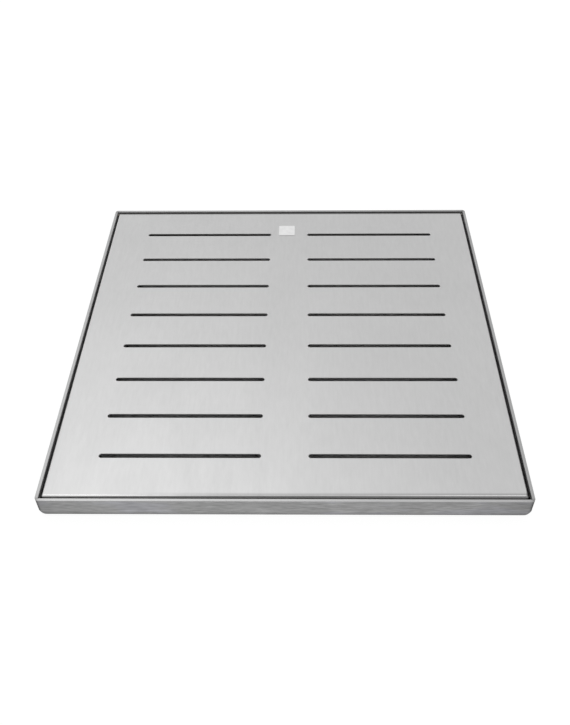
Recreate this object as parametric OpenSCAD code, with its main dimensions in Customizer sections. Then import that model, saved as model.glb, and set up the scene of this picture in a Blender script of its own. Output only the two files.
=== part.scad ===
// Square floor drain grate: a slotted cover plate with folded skirts, stiffened underneath,
// that lifts out of a frame welded from four lengths of folded angle.
// The origin is the centre of the frame's underside, +Z is up and the front is at -Y.

/* [Frame] */
// Outside width and depth of the square frame
frame_w = 300; // [290:1:340]
// Height of the frame, from its underside to its rim
frame_h = 16; // [16:0.5:24]
// Thickness of the frame's sheet
frame_t = 2; // [1.5:0.1:2.4]
// Width of the ledge inside the wall
ledge_w = 20; // [18:1:26]
// Outside radius of the bend between the wall and the ledge
frame_bend_r = 3.4; // [2.6:0.1:3.5]
// Outside radius of the frame's upright corners
frame_corner_r = 3; // [1:0.1:3]
// Radius to which the feet of the frame's corners are ground
corner_foot_r = 7; // [3:0.5:8]
// Radius to which the rim and the edge of the ledge are dressed
frame_edge_r = 0.3; // [0.2:0.05:0.6]
// Diameter of the fixing holes in the ledge
fixing_d = 5.5; // [3.4:0.1:6.6]
// Distance between the two fixing holes of one rail
fixing_pitch = 150; // [60:5:200]

/* [Cover plate] */
// Gap between the grate and the frame's wall, all round
grate_gap = 1.4; // [1:0.1:2.5]
// Depth of the plate's top face below the rim
grate_recess = 0.4; // [0:0.1:1.2]
// Thickness of the plate's sheet
plate_t = 1.2; // [1:0.1:1.4]
// Outside radius of the bend between the plate and its skirts
plate_bend_r = 1.5; // [1.5:0.1:2.5]
// Outside radius of the upright corners of the skirts
plate_corner_r = 1.8; // [1.5:0.1:3]

/* [Slots] */
// Number of slot rows, from front to back
slot_rows = 8; // [2:1:8]
// Distance from one slot row to the next
slot_pitch = 33; // [20:1:35]
// Length of a slot over its round ends
slot_l = 102; // [40:1:108]
// Width of a slot
slot_w = 3; // [2:0.5:6]
// Width of the plain strip between the two columns of slots
web_w = 30; // [10:1:36]
// Radius to which the upper edges of the slots are dressed
slot_edge_r = 0.45; // [0.3:0.05:0.8]

/* [Stiffeners] */
// Thickness of the bearing bars and of the spine
bar_t = 3; // [2:0.5:4]
// Depth of the bearing bars and of the spine
bar_h = 8; // [4:0.5:8]

/* [Pads] */
// Side of a square rubber pad
pad_w = 12; // [8:1:14]
// Thickness of a rubber pad
pad_t = 2; // [1:0.5:2.5]
// Number of grooves across the top of a pad
pad_grooves = 3; // [0:1:4]

/* [Badge] */
// Side of the blank square badge
badge_w = 13; // [5:1:20]
// Place of the badge's centre, from left to right
badge_x = -2; // [-10:0.5:10]
// Place of the badge's centre, from front to back
badge_y = 121; // [115:0.5:130]

/* [Hidden] */
$fn = 64;
FRAME_RAILS = ["frame_rail_front", "frame_rail_right", "frame_rail_back", "frame_rail_left"];
CORNER_PADS = ["pad_front_left", "pad_front_right", "pad_back_right", "pad_back_left"];
SIDE_PADS = ["pad_front", "pad_right", "pad_back", "pad_left"];
BEARING_BARS = [for (bar = [1 : slot_rows - 1]) str("bearing_bar_", bar)];

steel = [0.72, 0.73, 0.74];
brushed_steel = [0.80, 0.80, 0.79];
mill_steel = [0.55, 0.56, 0.57];
rubber = [0.10, 0.10, 0.11];
badge_grey = [0.90, 0.90, 0.89];

cut_over = 1;                                // how far a cut runs past the face it opens
weld_gap = 1;                                // bars stop this far short of the skirts
lap_clear = 0.1;                             // clearance on each side in the half laps
fixing_share = 0.35;                         // place of the fixing holes across the ledge, as a share
pad_margin = 1.5;                            // distance from a pad to the frame's wall
pad_corner_r = 1;                            // radius of a pad's upright corners
groove_w = 1;                                // width of a groove in a pad
groove_deep = 0.6;                           // depth of a groove in a pad
badge_t = 0.3;                               // thickness of the badge
badge_corner_r = 0.8;                        // radius of the badge's corners
edge_meet = 0.03;                            // lift that makes a dressed edge cross the plate's face
corner_over = 0.3;                           // lets the ground foot cross its corner at an angle

wall_in = frame_w / 2 - frame_t;             // inner face of the frame's wall
corner_reach = (frame_w / 2 - frame_corner_r) * sqrt(2) + frame_corner_r + corner_over;
ledge_in = wall_in - ledge_w;                // inner edge of the ledge
fixing_line = ledge_in + ledge_w * fixing_share;
plate_w = 2 * (wall_in - grate_gap);         // outside width of the grate
plate_top = frame_h - grate_recess;          // height of the plate's top face
plate_under = plate_top - plate_t;           // height of the plate's underside
skirt_in = plate_w / 2 - plate_t;            // inner face of the skirts
skirt_foot = frame_t + pad_t;                // height of the skirts' lower edge
bar_end = skirt_in - weld_gap;
lap_step = bar_h / 2;                        // depth of a half lap
pad_line = wall_in - pad_margin - pad_w / 2; // distance of the pads' centres from the middle
slot_lip = edge_meet - slot_edge_r;          // height of the dressed edge's centre over the plate

// Place of a slot row from front to back, counted from 0; half a row more is the bar behind it
function row_y(row) = (row - (slot_rows - 1) / 2) * slot_pitch;

// Square in plan, centred, with its four corners rounded
module rounded_square(side, corner_r) {
    square([side - 2 * corner_r, side], center = true);
    square([side, side - 2 * corner_r], center = true);
    for (x = [-1, 1], y = [-1, 1])
        translate([x, y] * (side / 2 - corner_r)) circle(r = corner_r);
}

// Rectangle in the first quadrant, with its corner at the origin rounded
module heel(size, heel_r) {
    translate([heel_r, 0]) square([size.x - heel_r, size.y]);
    translate([0, heel_r]) square([size.x, size.y - heel_r]);
    translate([heel_r, heel_r]) circle(r = heel_r);
}

// What is cut from a square corner at the origin, with its solid in the first quadrant, to round it
module corner_waste(corner_r) {
    difference() {
        translate([-cut_over, -cut_over]) square(corner_r + cut_over);
        translate([corner_r, corner_r]) circle(r = corner_r);
    }
}

// Section of a rail: x inwards from the wall's outer face, y up from the floor
module rail_section() {
    difference() {
        heel([frame_t + ledge_w, frame_h], frame_bend_r);
        translate([frame_t, frame_t]) heel([ledge_w + cut_over, frame_h], frame_bend_r - frame_t);
        translate([0, frame_h]) mirror([0, 1]) corner_waste(frame_edge_r);
        translate([frame_t, frame_h]) mirror([1, 0]) mirror([0, 1]) corner_waste(frame_edge_r);
        translate([frame_t + ledge_w, frame_t]) mirror([1, 0]) mirror([0, 1])
            corner_waste(frame_edge_r);
    }
}

// Outside of the whole frame: a block with rounded upright corners whose feet are ground round
module frame_outline() {
    intersection() {
        linear_extrude(frame_h) rounded_square(frame_w, frame_corner_r);
        rotate_extrude() difference() {
            square([corner_reach + cut_over, frame_h]);
            translate([corner_reach, 0]) mirror([1, 0]) corner_waste(corner_foot_r);
        }
    }
}

// One rail with mitred ends, turned from the front of the frame to its own side
module frame_rail(turn) {
    color(steel) rotate([0, 0, turn]) difference() {
        intersection() {
            translate([-frame_w / 2, -frame_w / 2, 0])
                rotate([90, 0, 90]) linear_extrude(frame_w) rail_section();
            frame_outline();
            linear_extrude(frame_h) polygon([[0, 0], [-frame_w, -frame_w], [frame_w, -frame_w]]);
        }
        for (x = [-1, 1])
            translate([x * fixing_pitch / 2, -fixing_line, -cut_over])
                cylinder(d = fixing_d, h = frame_t + 2 * cut_over);
    }
}

// One rubber pad, centred in plan on its place on the ledge, with grooves across its top
module pad(place) {
    color(rubber) translate([place.x, place.y, frame_t]) difference() {
        linear_extrude(pad_t) rounded_square(pad_w, pad_corner_r);
        for (groove = [1 : 1 : pad_grooves])
            translate([(groove / (pad_grooves + 1) - 0.5) * pad_w, 0, pad_t])
                cube([groove_w, pad_w + cut_over, 2 * groove_deep], center = true);
    }
}

// Block along Y, square in plan, with its two long upper edges rounded
module arched_block(side, bend_r, low, high) {
    translate([0, side / 2, low]) rotate([90, 0, 0]) linear_extrude(side) {
        translate([-side / 2, 0]) square([side, high - low - bend_r]);
        translate([bend_r - side / 2, 0]) square([side - 2 * bend_r, high - low]);
        for (x = [-1, 1])
            translate([x * (side / 2 - bend_r), high - low - bend_r]) circle(r = bend_r);
    }
}

// Block with a flat underside, rounded upright corners and all four upper edges rounded
module pan(side, corner_r, bend_r, low, high) {
    intersection() {
        translate([0, 0, low]) linear_extrude(high - low) rounded_square(side, corner_r);
        arched_block(side, bend_r, low, high);
        rotate([0, 0, 90]) arched_block(side, bend_r, low, high);
    }
}

// Half the section of a slot: x out from the slot's middle, y up from the plate's top face
module slot_half_section() {
    translate([0, -plate_t - cut_over]) square([slot_w / 2, plate_t + 2 * cut_over]);
    difference() {
        translate([0, slot_lip]) square([slot_w / 2 + slot_edge_r, cut_over - slot_lip]);
        translate([slot_w / 2 + slot_edge_r, slot_lip]) circle(r = slot_edge_r);
    }
}

// One slot with round ends and dressed upper edges, cut through the plate
module slot() {
    straight = slot_l - slot_w;
    for (x = [-1, 1])
        translate([x * straight / 2, 0, plate_top]) rotate_extrude() slot_half_section();
    translate([-straight / 2, 0, plate_top]) rotate([90, 0, 90]) linear_extrude(straight) {
        slot_half_section();
        mirror([1, 0]) slot_half_section();
    }
}

// Cover plate with its four folded skirts and its two columns of slots
module cover_plate() {
    color(brushed_steel) difference() {
        pan(plate_w, plate_corner_r, plate_bend_r, skirt_foot, plate_top);
        pan(2 * skirt_in, plate_corner_r - plate_t, plate_bend_r - plate_t,
            skirt_foot - cut_over, plate_under);
        for (row = [0 : slot_rows - 1], x = [-1, 1])
            translate([x * (web_w + slot_l) / 2, row_y(row), 0]) slot();
    }
}

// Flat bar on edge under the plate, along X, centred on the origin
module flat_bar() {
    translate([-bar_end, -bar_t / 2, plate_under - bar_h]) cube([2 * bar_end, bar_t, bar_h]);
}

// Bearing bar between two slot rows, with a half lap for the spine cut from below
module bearing_bar(bar) {
    color(mill_steel) translate([0, row_y(bar - 0.5), 0]) difference() {
        flat_bar();
        translate([-bar_t / 2 - lap_clear, -bar_t, plate_under - bar_h - cut_over])
            cube([bar_t + 2 * lap_clear, 2 * bar_t, lap_step + cut_over]);
    }
}

// Spine along Y under the plain strip, with a half lap for each bearing bar cut from above
module centre_spine() {
    color(mill_steel) difference() {
        rotate([0, 0, 90]) flat_bar();
        for (bar = [1 : slot_rows - 1])
            translate([-bar_t, row_y(bar - 0.5) - bar_t / 2 - lap_clear, plate_under - lap_step])
                cube([2 * bar_t, bar_t + 2 * lap_clear, lap_step + cut_over]);
    }
}

// Blank square badge on the plate, behind the last slot row
module blank_badge() {
    color(badge_grey) translate([badge_x, badge_y, plate_top])
        linear_extrude(badge_t) rounded_square(badge_w, badge_corner_r);
}

for (side = [0 : 3]) {
    frame_rail(90 * side);
    rotate([0, 0, 90 * side]) pad([-pad_line, -pad_line]);
    rotate([0, 0, 90 * side]) pad([0, -pad_line]);
}
for (bar = [1 : slot_rows - 1])
    bearing_bar(bar);
cover_plate();
centre_spine();
blank_badge();
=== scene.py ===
"""Looks of a square floor drain grate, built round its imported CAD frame. Metres, +Z up, front at -Y."""
import math

import bmesh
import bpy
from mathutils import Matrix, Vector


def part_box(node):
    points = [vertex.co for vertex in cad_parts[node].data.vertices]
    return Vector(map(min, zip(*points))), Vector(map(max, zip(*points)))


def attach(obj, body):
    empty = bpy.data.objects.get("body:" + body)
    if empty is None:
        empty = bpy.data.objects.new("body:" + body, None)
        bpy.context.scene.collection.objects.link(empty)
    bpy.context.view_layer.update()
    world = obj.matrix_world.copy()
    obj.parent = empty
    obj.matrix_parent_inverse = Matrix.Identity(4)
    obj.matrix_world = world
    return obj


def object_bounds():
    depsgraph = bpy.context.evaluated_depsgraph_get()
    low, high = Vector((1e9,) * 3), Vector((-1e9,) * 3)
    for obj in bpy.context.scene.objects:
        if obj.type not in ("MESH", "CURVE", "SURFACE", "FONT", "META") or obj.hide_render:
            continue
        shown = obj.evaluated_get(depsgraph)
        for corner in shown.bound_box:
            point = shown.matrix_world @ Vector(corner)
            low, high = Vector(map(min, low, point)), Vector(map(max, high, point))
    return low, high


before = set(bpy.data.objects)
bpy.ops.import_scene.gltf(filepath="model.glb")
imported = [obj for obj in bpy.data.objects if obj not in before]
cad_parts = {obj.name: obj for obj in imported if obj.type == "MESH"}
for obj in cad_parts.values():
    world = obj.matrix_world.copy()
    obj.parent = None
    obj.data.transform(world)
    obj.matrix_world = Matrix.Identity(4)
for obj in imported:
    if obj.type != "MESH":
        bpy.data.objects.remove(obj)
cad_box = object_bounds()

MM = 0.001
UP = Vector((0, 0, 1))

# Outer radii of the frame's foot bend, of its four corners and of the plate's bends.
FRAME_BEND = 3.4 * MM
FRAME_CORNER = 3.0 * MM
PLATE_BEND = 1.5 * MM

# Brightness of the frame's outer face, set low as painted shade, and of its inside, against that of the
# clean steel.
OUTER_FACE_SHARE = 0.5
INSIDE_SHARE = 1.3

# Heat tints beside a weld.
STRAW = (0.42, 0.37, 0.29, 1.0)
HEAT_BLUE = (0.25, 0.27, 0.33, 1.0)

# How deep a weld's base is sunk in the metal, the pitch of its ripples, a stitch weld's length.
SUNK = 0.08 * MM
RIPPLE = 0.9 * MM
STITCH = 14 * MM

# The floor: half its width, how far it lies under the frame, how far inside the frame's outline
# its unlit drain mouth ends, and the width of the mouth's soft edge.
FLOOR_REACH = 40.0
FLOOR_GAP = 0.05 * MM
MOUTH_INSET = 10 * MM
MOUTH_FADE = 3 * MM

# Where the plate's front and left bends begin and are full in the masks, as shares of half the width.
SIDE_START = 0.94
SIDE_FULL = 0.96

PADS = ["pad_" + place for place in (
    "front", "right", "back", "left", "front_left", "front_right", "back_right", "back_left")]
BARS = [f"bearing_bar_{count}" for count in range(1, 8)]

rim_z = cad_box[1].z
half = cad_box[1].x
plate_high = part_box("cover_plate")[1]
bar_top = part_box(BARS[0])[1].z
# The pads lie on the ledge, and the frame's wall is cut from the same sheet as its ledge.
ledge_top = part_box(PADS[0])[0].z
wall_t = ledge_top
ledge_in = -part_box("frame_rail_left")[1].x


# ---------------------------------------------------------------- node helpers
def plug(tree, node, inputs):
    """Fills a node's inputs, by socket name or place, with values or with links from sockets."""
    for key, value in inputs.items():
        if isinstance(value, bpy.types.NodeSocket):
            tree.links.new(value, node.inputs[key])
        else:
            node.inputs[key].default_value = value


def add(tree, kind, inputs=None, **settings):
    """A new node with its settings and inputs."""
    made = tree.nodes.new(kind)
    for key, value in settings.items():
        setattr(made, key, value)
    plug(tree, made, inputs or {})
    return made


def math_node(tree, operation, *values):
    """The result of one Math node."""
    return add(tree, "ShaderNodeMath", dict(enumerate(values)), operation=operation).outputs[0]


def product(tree, first, *others):
    """Everything multiplied."""
    for other in others:
        first = math_node(tree, "MULTIPLY", first, other)
    return first


def total(tree, first, *others):
    """Everything added up."""
    for other in others:
        first = math_node(tree, "ADD", first, other)
    return first


def rest_of(tree, value):
    """1 less the value."""
    return math_node(tree, "SUBTRACT", 1.0, value)


def remap(tree, value, low, high, out_low, out_high, smooth=False):
    """Value mapped from low..high to out_low..out_high and held at the ends."""
    kind = "SMOOTHSTEP" if smooth else "LINEAR"
    return add(tree, "ShaderNodeMapRange",
               {"Value": value, "From Min": low, "From Max": high,
                "To Min": out_low, "To Max": out_high},
               interpolation_type=kind).outputs["Result"]


def mix_colour(tree, factor, first, second):
    """Two colours mixed by a factor."""
    return add(tree, "ShaderNodeMix", {0: factor, 6: first, 7: second}, data_type="RGBA").outputs[2]


def mix_grey(tree, factor, first, second):
    """Two numbers mixed by a factor."""
    return add(tree, "ShaderNodeMix", {0: factor, 2: first, 3: second}, data_type="FLOAT").outputs[0]


def noise(tree, coords, scale, detail=3.0, rough=0.55, shift=(0.0, 0.0, 0.0)):
    """Noise from 0 to 1, with scale as the features per metre along X, Y and Z."""
    placed = add(tree, "ShaderNodeMapping", {"Vector": coords, "Scale": scale, "Location": shift})
    return add(tree, "ShaderNodeTexNoise",
               {"Vector": placed.outputs[0], "Scale": 1.0, "Detail": detail,
                "Roughness": rough}).outputs["Fac"]


def along(axis, length, width):
    """Noise scale of streaks that run along an axis: features per metre on X, Y and Z."""
    return tuple(1 / length if name == axis else 1 / width for name in "XYZ")


def axes_of(tree, coords):
    """The X, Y and Z of a vector, by name."""
    return add(tree, "ShaderNodeSeparateXYZ", {"Vector": coords}).outputs


def plan_distance(tree, place, operation):
    """The larger (MAXIMUM) or the smaller (MINIMUM) of |x| and |y|."""
    return math_node(tree, operation, math_node(tree, "ABSOLUTE", place["X"]),
                     math_node(tree, "ABSOLUTE", place["Y"]))


def past(tree, value, limit):
    """How far a value is past a limit, 0 when it isn't."""
    return math_node(tree, "MAXIMUM", math_node(tree, "SUBTRACT", value, limit), 0.0)


def length_of(tree, first, second):
    """The length of two sides put at a right angle."""
    squares = total(tree, product(tree, first, first), product(tree, second, second))
    return math_node(tree, "SQRT", squares)


def bump(tree, height, distance):
    """A bump of that depth in metres."""
    return add(tree, "ShaderNodeBump", {"Height": height, "Distance": distance}).outputs[0]


def grey(level, warm=0.0):
    """A grey of the given linear level; warm above 0 leans to straw, below 0 to blue."""
    return (level * (1 + warm), level, level * (1 - warm), 1.0)


def combine_grey(tree, level, red=1.0, blue=1.0):
    """A colour socket from a grey level socket, with its red and blue scaled."""
    made = add(tree, "ShaderNodeCombineColor")
    plug(tree, made, {place: product(tree, level, share)
                      for place, share in enumerate((red, 1.0, blue))})
    return made.outputs[0]


def new_material(name):
    """An empty node material, its tree, its shader and its object coordinates."""
    material = bpy.data.materials.new(name)
    material.use_nodes = True
    tree = material.node_tree
    tree.nodes.clear()
    shader = add(tree, "ShaderNodeBsdfPrincipled")
    add(tree, "ShaderNodeOutputMaterial", {"Surface": shader.outputs[0]})
    coords = add(tree, "ShaderNodeTexCoord").outputs["Object"]
    return material, tree, shader, coords


# ---------------------------------------------------------------- brushed steel
def brushed_steel(name, axis, level, rough, streak, mottle, grain_mm=0.25, coarse_mm=(90, 1.1)):
    """Brushed stainless steel whose grain runs along an axis.

    level is the metal's grey, rough its roughness, and streak and mottle are how far streaks and
    soft clouds move the grey. grain_mm is the width of the fine grain, and coarse_mm the length
    and width of the streaks.
    """
    material, tree, shader, coords = new_material(name)
    fine = noise(tree, coords, along(axis, 18 * MM, grain_mm * MM), detail=4)
    length, width = coarse_mm
    coarse = noise(tree, coords, along(axis, length * MM, width * MM), detail=5, rough=0.6)
    cloud = noise(tree, coords, (22, 22, 22), detail=4, shift=(3.1, 1.7, 0.4))
    smear = noise(tree, coords, along(axis, 60 * MM, 14 * MM), detail=2, shift=(0.7, 5.2, 2.0))

    tone = total(tree, remap(tree, coarse, 0.3, 0.7, -streak, streak),
                 remap(tree, cloud, 0.3, 0.7, -mottle, mottle),
                 remap(tree, fine, 0.25, 0.75, -streak, streak))
    layer = {
        "fine": fine, "cloud": cloud, "smear": smear,
        "base": product(tree, total(tree, tone, 1.0), level),
        "rough": total(tree, remap(tree, fine, 0.25, 0.75, rough - 0.035, rough + 0.035),
                       remap(tree, smear, 0.3, 0.7, -0.02, 0.03))}
    return material, tree, shader, coords, layer


def finish_steel(tree, shader, axis, colour, rough, height, depth, anisotropy):
    """Sets the shader of a brushed metal."""
    direction = add(tree, "ShaderNodeCombineXYZ", {axis: 1.0})
    plug(tree, shader, {
        "Base Color": colour, "Roughness": rough, "Metallic": 1.0, "Anisotropic": anisotropy,
        "Normal": bump(tree, height, depth), "Tangent": direction.outputs[0]})


# ---------------------------------------------------------------- the plate's material
def bend_light_and_shade(tree, place, cloud):
    """Painted highlight and painted shade of the plate's four bends.

    The painted highlight is a bright line at the top of a bend, with patchy burnished wear, stronger
    towards its corners. The painted shade is the share of brightness left below the line, where the
    bend turns down into the gap. The front bend's line starts sooner to the right and is narrowest in
    the middle. The left bend's line stops later, and is bright along all of it.
    The third result is how much sooner the front line starts.
    """
    bend = plate_high.x - PLATE_BEND
    strongest, on_the_left, left_in_shade = 0.7, 0.55, 0.56
    left = remap(tree, place["X"], -half, 0.0, 1.0, 0.0)
    right = remap(tree, place["X"], 0.0, half, 0.0, 1.0)
    on_front = remap(tree, place["Y"], -SIDE_FULL * half, -SIDE_START * half, 1.0, 0.0)
    on_left = remap(tree, place["X"], -SIDE_FULL * half, -SIDE_START * half, 1.0, 0.0)

    sooner = product(tree, total(tree, product(tree, left, 0.15 * MM),
                                 product(tree, right, 0.5 * MM)), on_front)
    shorter = total(tree, product(tree, left, -0.6 * MM), product(tree, right, 0.2 * MM),
                    0.35 * MM)
    shorter = mix_grey(tree, on_front, product(tree, on_left, -0.3 * MM), shorter)
    reach = plan_distance(tree, place, "MAXIMUM")
    entry = total(tree, reach, sooner)
    drop = total(tree, reach, shorter)

    line = product(
        tree,
        remap(tree, entry, bend + 0.2 * MM, bend + 0.4 * MM, 0.0, 1.0, smooth=True),
        remap(tree, drop, bend + 0.7 * MM, bend + 0.9 * MM, 1.0, 0.0, smooth=True),
        remap(tree, place["X"], bend - 0.5 * MM, bend, 1.0, 0.0))
    # How strong the painted highlight is: patchy like wear, strongest towards the corners and along the
    # left bend.
    painted_light = product(
        tree,
        remap(tree, plan_distance(tree, place, "MINIMUM"), 0.2 * half, 0.8 * half, 0.0, strongest,
              smooth=True),
        remap(tree, cloud, 0.35, 0.6, 0.6, 1.0))
    painted_light = math_node(tree, "MAXIMUM", painted_light, product(tree, on_left, on_the_left))
    # Painted shade on the lower bend, darker where it turns into the gap.
    gap_shade = remap(tree, drop, bend + 0.65 * MM, bend + 1.0 * MM, 1.0, left_in_shade, smooth=True)
    return product(tree, line, painted_light), gap_shade, sooner


def plate_painted_shade(tree, place, sooner):
    """Painted shade: how much brightness is lost beside the front line, but for the far left, and at the
    back.
    """
    bend = plate_high.x - PLATE_BEND
    front_loss, back_loss = 0.3, 0.5
    front_y = math_node(tree, "SUBTRACT", place["Y"], sooner)
    front = product(
        tree,
        remap(tree, place["X"], -0.75 * half, -0.1 * half, 0.0, front_loss, smooth=True),
        remap(tree, front_y, 2.2 * MM - bend, 0.2 * MM - bend, 0.0, 1.0, smooth=True),
        remap(tree, front_y, -bend, -bend - 0.25 * MM, 1.0, 0.35))
    back = remap(tree, place["Y"], bend - 1.0 * MM, bend - 0.2 * MM, 0.0, back_loss, smooth=True)
    return total(tree, front, back)


def plate_steel():
    """Even satin brush from front to back; bends with a painted highlight and some wear on top, painted
    shade below.
    """
    axis = "Y"
    material, tree, shader, coords, layer = brushed_steel(
        "plate_brushed", axis, level=0.56, rough=0.36, streak=0.026, mottle=0.018,
        coarse_mm=(11, 2.6))
    place = axes_of(tree, coords)
    painted_highlight, gap_shade, sooner = bend_light_and_shade(tree, place, layer["cloud"])
    kept = rest_of(tree, plate_painted_shade(tree, place, sooner))

    # The grey takes the bends' painted highlight and painted shade, and the painted shade beside the
    # front line.
    level = product(tree, layer["base"], total(tree, painted_highlight, 1.0), gap_shade, kept)
    smoother, rougher = -0.2, 0.5
    rough = total(tree, layer["rough"], product(tree, painted_highlight, smoother),
                  product(tree, rest_of(tree, gap_shade), rougher))
    finish_steel(tree, shader, axis, combine_grey(tree, level), rough, layer["fine"],
                 depth=0.006 * MM, anisotropy=0.35)
    return material


# ---------------------------------------------------------------- the rails' material
def frame_depth(tree, place):
    """Depth under the frame's outer skin, round its corners and round the bend at its foot."""
    centre = half - FRAME_CORNER
    out = length_of(tree, past(tree, math_node(tree, "ABSOLUTE", place["X"]), centre),
                    past(tree, math_node(tree, "ABSOLUTE", place["Y"]), centre))
    out = past(tree, out, FRAME_CORNER - FRAME_BEND)
    down = past(tree, math_node(tree, "SUBTRACT", FRAME_BEND, place["Z"]), 0.0)
    return math_node(tree, "SUBTRACT", FRAME_BEND, length_of(tree, out, down))


def rail_masks(tree, place, near_corner):
    """Masks of the rails' inside and of their rim; the ground corner feet aren't inside."""
    ground = product(tree, remap(tree, near_corner, half - 8 * MM, half - 7 * MM, 0.0, 1.0),
                     remap(tree, place["Z"], 1.9 * MM, 2.0 * MM, 1.0, 0.0))
    inside = product(tree, remap(tree, frame_depth(tree, place), 1.3 * MM, 1.7 * MM, 0.0, 1.0,
                                 smooth=True), rest_of(tree, ground))
    rim = remap(tree, place["Z"], rim_z - 0.35 * MM, rim_z - 0.1 * MM, 0.0, 1.0, smooth=True)
    return inside, rim


def outer_face(tree, coords, place, axis, patch):
    """Brightness of the outer face: dragged streaks and patches under painted shade, deeper to the right,
    to its ends and at its foot.
    """
    drag = noise(tree, coords, along(axis, 8 * MM, 0.9 * MM), detail=5, rough=0.6, shift=(4, 1, 7))
    streaks, patches = 0.24, 0.07
    tone = total(tree, remap(tree, drag, 0.3, 0.7, -streaks, streaks),
                 remap(tree, patch, 0.35, 0.65, -patches, patches), 1.0)
    # Painted shade: darker to the right, towards the ends and at the foot, and set low by
    # OUTER_FACE_SHARE.
    to_right = remap(tree, place["X"], 0.3 * half, half, 1.0, 0.88)
    to_ends = remap(tree, math_node(tree, "ABSOLUTE", place[axis]), 0.7 * half, half, 1.05, 0.88,
                    smooth=True)
    foot = product(tree, remap(tree, place["Z"], 2.2 * MM, 5.5 * MM, 0.66, 1.0),
                   remap(tree, place["Z"], 1.0 * MM, 2.2 * MM, 0.6, 1.0))
    return product(tree, tone, OUTER_FACE_SHARE, to_right, to_ends, foot)


def rail_steel(side, axis, rim_share):
    """A rail's steel, brushed along the rail: satin inside, a rim in painted light, a streaky outer face
    in painted shade.
    """
    material, tree, shader, coords, layer = brushed_steel(
        "rail_brushed_" + side, axis, level=0.55, rough=0.34, streak=0.03, mottle=0.03)
    place = axes_of(tree, coords)
    near_corner = plan_distance(tree, place, "MINIMUM")
    inside, rim = rail_masks(tree, place, near_corner)
    shown = math_node(tree, "MAXIMUM", inside, rim)
    scoured = product(tree, inside, rest_of(tree, rim))

    patch = noise(tree, coords, along(axis, 38 * MM, 12 * MM), detail=3, shift=(2.2, 6.1, 0.9))
    # Painted shade round the corners, on the rim and on the outer face.
    corner = product(tree, remap(tree, near_corner, half - 10 * MM, half - 1 * MM, 1.0, 0.88),
                     remap(tree, near_corner, half - 3 * MM, half - 1 * MM, 1.0, 0.6))
    outer = product(tree, outer_face(tree, coords, place, axis, patch), corner)
    # Painted light on the rim, falling from left to right, set by side through rim_share.
    rim_left, rim_right = 0.82 * rim_share, 0.7 * rim_share
    painted_light = remap(tree, place["X"], -half, half, rim_left, rim_right)
    painted_light = product(tree, painted_light, corner)
    share = mix_grey(tree, shown, outer, mix_grey(tree, rim, INSIDE_SHARE, painted_light))
    level = product(tree, layer["base"], share)
    cold = product(tree, remap(tree, patch, 0.5, 0.62, 0.0, 1.0, smooth=True),
                   rest_of(tree, shown))
    colour = mix_colour(tree, cold, combine_grey(tree, level), combine_grey(tree, level, blue=1.05))
    rough = total(tree, layer["rough"], product(tree, scoured, 0.22))
    finish_steel(tree, shader, axis, colour, rough, layer["fine"],
                 depth=0.012 * MM, anisotropy=0.45)

    # Painted shade in the reflections: at a flat angle the foot and the rounded corners reflect less than
    # clean steel.
    reflection_shade = product(tree, remap(tree, place["Z"], 1.4 * MM, FRAME_BEND, 0.25, 1.0),
                         remap(tree, near_corner, half - 3 * MM, half - 1 * MM, 1.0, 0.3))
    reflection_shade = math_node(tree, "MAXIMUM", shown, reflection_shade)
    plug(tree, shader, {"Specular Tint": combine_grey(tree, reflection_shade)})
    return material


# ---------------------------------------------------------------- the other materials
def mill_steel():
    """Dull rolled flat bar with a blotchy skin, straw-coloured where it was welded to the plate."""
    axis = "X"
    material, tree, shader, coords, layer = brushed_steel(
        "mill_steel_bar", axis, level=0.36, rough=0.5, streak=0.05, mottle=0.09, grain_mm=0.4)
    heat = product(tree, remap(tree, axes_of(tree, coords)["Z"], bar_top - 3.5 * MM, bar_top,
                               0.0, 1.0, smooth=True),
                   remap(tree, layer["smear"], 0.4, 0.6, 0.15, 0.7))
    colour = mix_colour(tree, heat, combine_grey(tree, layer["base"], red=1.01, blue=0.99), STRAW)
    finish_steel(tree, shader, axis, colour, layer["rough"], layer["cloud"],
                 depth=0.02 * MM, anisotropy=0.1)
    return material


def weld_steel():
    """Weld metal: bright crests, straw and blue tints, a fine crackled skin."""
    material, tree, shader, coords = new_material("weld_steel")
    blotch = noise(tree, coords, (420, 420, 420), detail=3)
    skin = noise(tree, coords, (3200, 3200, 3200), detail=3, shift=(2.0, 0.3, 1.1))
    tint = mix_colour(tree, remap(tree, blotch, 0.42, 0.5, 0.0, 1.0, smooth=True), grey(0.5), STRAW)
    tint = mix_colour(tree, remap(tree, blotch, 0.56, 0.66, 0.0, 0.8, smooth=True), tint, HEAT_BLUE)
    plug(tree, shader, {
        "Base Color": tint, "Roughness": remap(tree, skin, 0.3, 0.7, 0.28, 0.46),
        "Normal": bump(tree, skin, 0.015 * MM), "Metallic": 1.0})
    return material


def pad_rubber():
    """Matt black rubber with a fine skin and a little dust."""
    material, tree, shader, coords = new_material("pad_epdm")
    skin = noise(tree, coords, (2600, 2600, 2600), detail=3)
    dust = noise(tree, coords, (160, 160, 160), detail=5, shift=(1.0, 2.0, 3.0))
    colour = mix_colour(tree, remap(tree, dust, 0.45, 0.75, 0.0, 0.35),
                        grey(0.018), grey(0.07, warm=0.05))
    plug(tree, shader, {
        "Base Color": colour, "Roughness": remap(tree, dust, 0.3, 0.7, 0.62, 0.85),
        "Normal": bump(tree, skin, 0.03 * MM)})
    return material


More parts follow.
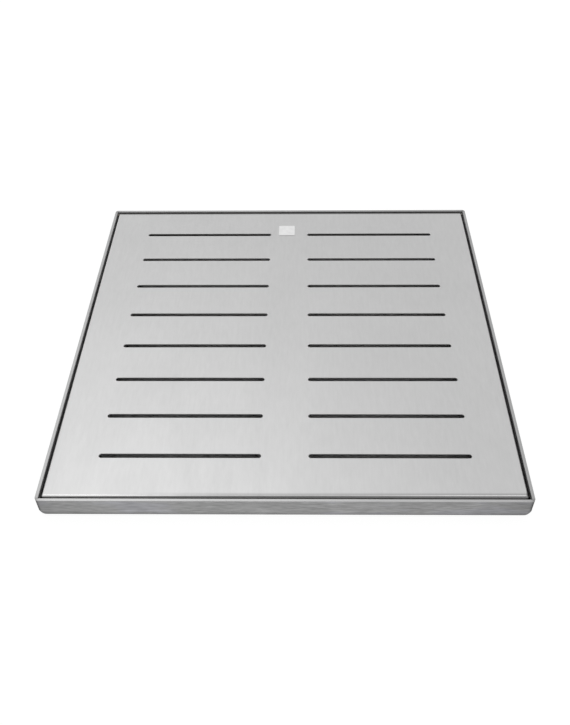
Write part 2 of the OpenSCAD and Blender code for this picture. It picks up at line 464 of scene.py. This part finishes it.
def badge_film():
    """Pale satin blank badge."""
    material, tree, shader, coords = new_material("badge_satin")
    cloud = noise(tree, coords, (300, 300, 300), detail=4)
    grain = noise(tree, coords, along("Y", 6 * MM, 0.2 * MM), detail=3)
    colour = mix_colour(tree, remap(tree, cloud, 0.3, 0.7, 0.0, 1.0), grey(0.78), grey(0.86))
    plug(tree, shader, {
        "Base Color": colour, "Roughness": remap(tree, grain, 0.3, 0.7, 0.38, 0.5),
        "Normal": bump(tree, grain, 0.01 * MM), "Metallic": 0.3})
    return material


def dress(node, material):
    """Gives a CAD node its finished material."""
    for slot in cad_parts[node].material_slots:
        slot.material = material


dress("cover_plate", plate_steel())
# The last number is each rail's rim_share: painted light, setting its rim lighter or darker by side.
for side, axis, rim_share in (("front", "X", 1.12), ("right", "Y", 1.03),
                              ("back", "X", 1.0), ("left", "Y", 0.95)):
    dress("frame_rail_" + side, rail_steel(side, axis, rim_share))
mill = mill_steel()
for node in BARS + ["centre_spine"]:
    dress(node, mill)
rubber = pad_rubber()
for node in PADS:
    dress(node, rubber)
dress("blank_badge", badge_film())


# ---------------------------------------------------------------- welds
def fillet_profile(first, second, leg, points=7):
    """Section of a weld in a corner, between legs along two faces; its heel is sunk in the metal."""
    section = []
    for count in range(points):
        turn = math.pi / 2 * count / (points - 1)
        reach = leg * (1 - 0.2 * math.sin(2 * turn))
        section.append((first * math.cos(turn) + second * math.sin(turn)) * reach)
    section.append((first + second) * -SUNK)
    return section


def flat_profile(across, up, width, height, points=7):
    """Section of a low weld on a flat face; its base is sunk in the metal."""
    section = []
    for count in range(points):
        turn = math.pi * count / (points - 1)
        section.append(across * math.cos(turn) * width / 2 + up * (math.sin(turn) * height - SUNK))
    return section


def add_bead(mesh, start, end, section):
    """Adds one rippled weld bead from start to end: crescents that lag at the middle."""
    way = (end - start).normalized()
    length = (end - start).length
    rings = max(6, math.ceil(length / (RIPPLE / 5)))
    loops = []
    for count in range(rings + 1):
        travel = length * count / rings
        swell = 1 + 0.09 * math.cos(2 * math.pi * travel / RIPPLE) + 0.04 * math.sin(travel / MM)
        from_end = min(travel, length - travel)
        taper = min(1.0, 0.35 + math.sqrt(from_end / (1.5 * MM)))
        loop = []
        for place, offset in enumerate(section):
            middle = math.sin(math.pi * min(1.0, place / 6))
            lag = way * (0.35 * RIPPLE * middle * min(1.0, from_end / RIPPLE))
            loop.append(mesh.verts.new(start + way * travel - lag + offset * swell * taper))
        loops.append(loop)
    size = len(section)
    for before, after in zip(loops, loops[1:]):
        for place in range(size):
            follow = (place + 1) % size
            mesh.faces.new((before[place], before[follow], after[follow], after[place]))
    mesh.faces.new(reversed(loops[0]))
    mesh.faces.new(loops[-1])


def make_welds(name, beads, body):
    """One piece from a list of beads, each given as start, end and section."""
    mesh = bmesh.new()
    for start, end, section in beads:
        add_bead(mesh, start, end, section)
    bmesh.ops.recalc_face_normals(mesh, faces=mesh.faces)
    for face in mesh.faces:
        face.smooth = True
    data = bpy.data.meshes.new(name)
    mesh.to_mesh(data)
    mesh.free()
    data.materials.append(weld)
    piece = bpy.data.objects.new(name, data)
    bpy.context.scene.collection.objects.link(piece)
    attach(piece, body)


def frame_beads():
    """Beads in the frame's four upright corners, and on the mitres of its ledge."""
    corners, mitres = [], []
    wall_in = half - wall_t
    for x in (-1, 1):
        for y in (-1, 1):
            corner = Vector((x, y, 0)) * wall_in
            corners.append((corner + UP * (ledge_top + 2.2 * MM), corner + UP * (rim_z - 2.5 * MM),
                            fillet_profile(Vector((-x, 0, 0)), Vector((0, -y, 0)), 1.1 * MM)))
            heel = Vector((x, y, 0)) * (ledge_in + 0.6 * MM) + UP * ledge_top
            toe = Vector((x, y, 0)) * (ledge_in + 5.6 * MM) + UP * ledge_top
            across = Vector((x, -y, 0)).normalized()
            mitres.append((heel, toe, flat_profile(across, UP, 2.4 * MM, 0.45 * MM)))
    return corners, mitres


def bar_beads():
    """Four stitches along the top of each bearing bar, on its two sides in turn."""
    stitches = []
    for count, bar in enumerate(BARS):
        low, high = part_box(bar)
        for place, share in enumerate((-0.86, -0.3, 0.3, 0.86)):
            facing = 1 if (count + place) % 2 else -1
            middle = Vector((high.x * share, high.y if facing > 0 else low.y, high.z))
            run = Vector((STITCH / 2, 0, 0))
            stitches.append((middle - run, middle + run,
                             fillet_profile(Vector((0, facing, 0)), -UP, 1.3 * MM)))
    return stitches


weld = weld_steel()
corner_beads, mitre_beads = frame_beads()
make_welds("corner_welds", corner_beads, "frame")
make_welds("ledge_welds", mitre_beads, "frame")
make_welds("stitch_welds", bar_beads(), "grate")


# ---------------------------------------------------------------- stage
def make_floor():
    """Plain pale floor, lit from within like a light table, with a shaded drain mouth."""
    material, tree, shader, coords = new_material("floor_pale")
    mouth = half - MOUTH_INSET
    mouth_grey, lit_grey, own_light = grey(0.8), grey(0.08), 0.95
    outside = remap(tree, plan_distance(tree, axes_of(tree, coords), "MAXIMUM"),
                    mouth, mouth + MOUTH_FADE, 0.0, 1.0)
    plug(tree, shader, {
        "Base Color": mix_colour(tree, outside, mouth_grey, lit_grey),
        "Emission Color": grey(1.0), "Emission Strength": product(tree, outside, own_light),
        "Roughness": 0.9, "Specular IOR Level": 0.1})
    mesh = bpy.data.meshes.new("floor")
    low = cad_box[0].z - FLOOR_GAP
    corners = ((-1, -1), (1, -1), (1, 1), (-1, 1))
    mesh.from_pydata([(x * FLOOR_REACH, y * FLOOR_REACH, low) for x, y in corners],
                     [], [(0, 1, 2, 3)])
    floor = bpy.data.objects.new("floor", mesh)
    bpy.context.scene.collection.objects.link(floor)
    mesh.materials.append(material)


def make_world():
    """Soft studio surround: darker in front, a little lighter right, a glow high at the back left."""
    world = bpy.data.worlds.new("studio")
    bpy.context.scene.world = world
    world.use_nodes = True
    tree = world.node_tree
    tree.nodes.clear()
    direction = add(tree, "ShaderNodeTexCoord").outputs["Generated"]
    towards = axes_of(tree, direction)
    front_level, open_level, back_share = 0.65, 0.92, 0.87
    dome = product(
        tree, remap(tree, towards["Y"], -0.6, 0.3, front_level, open_level, smooth=True),
        remap(tree, towards["Y"], 0.55, 1.0, 1.0, back_share))
    lighter_right, glow_strength = 0.14, 1.08
    glow = Vector((-0.26, 0.35, 0.90)).normalized()
    facing = add(tree, "ShaderNodeVectorMath", {0: direction, 1: glow}, operation="DOT_PRODUCT")
    light = total(tree, dome, product(tree, towards["X"], lighter_right),
                  remap(tree, facing.outputs["Value"], 0.9, 1.0, 0.0, glow_strength))
    surround = add(tree, "ShaderNodeBackground", {"Color": (1, 1, 1, 1), "Strength": light})
    add(tree, "ShaderNodeOutputWorld", {"Surface": surround.outputs[0]})


def make_camera():
    """The photograph's viewpoint: above the front edge, looking down at about 45 degrees."""
    pitch, yaw, roll = (math.radians(angle) for angle in (44.38, -1.21, -0.86))
    eye = Vector((0.0116, -0.4308, rim_z + 0.4040))
    ahead = Vector((math.sin(yaw) * math.cos(pitch), math.cos(yaw) * math.cos(pitch),
                    -math.sin(pitch)))
    right = Vector((math.cos(yaw), -math.sin(yaw), 0))
    up = right.cross(ahead)
    level_right = math.cos(roll) * right + math.sin(roll) * up
    level_up = math.cos(roll) * up - math.sin(roll) * right
    data = bpy.data.cameras.new("camera")
    data.lens = 40.25
    data.sensor_width = 36.0
    data.shift_x, data.shift_y = -0.0082, -0.0217
    data.clip_start, data.clip_end = 0.01, 100.0
    camera = bpy.data.objects.new("camera", data)
    bpy.context.scene.collection.objects.link(camera)
    turn = Matrix((level_right, level_up, -ahead)).transposed()
    camera.matrix_world = Matrix.Translation(eye) @ turn.to_4x4()
    bpy.context.scene.camera = camera


make_floor()
make_world()
make_camera()
bpy.context.scene.view_settings.view_transform = "Standard"
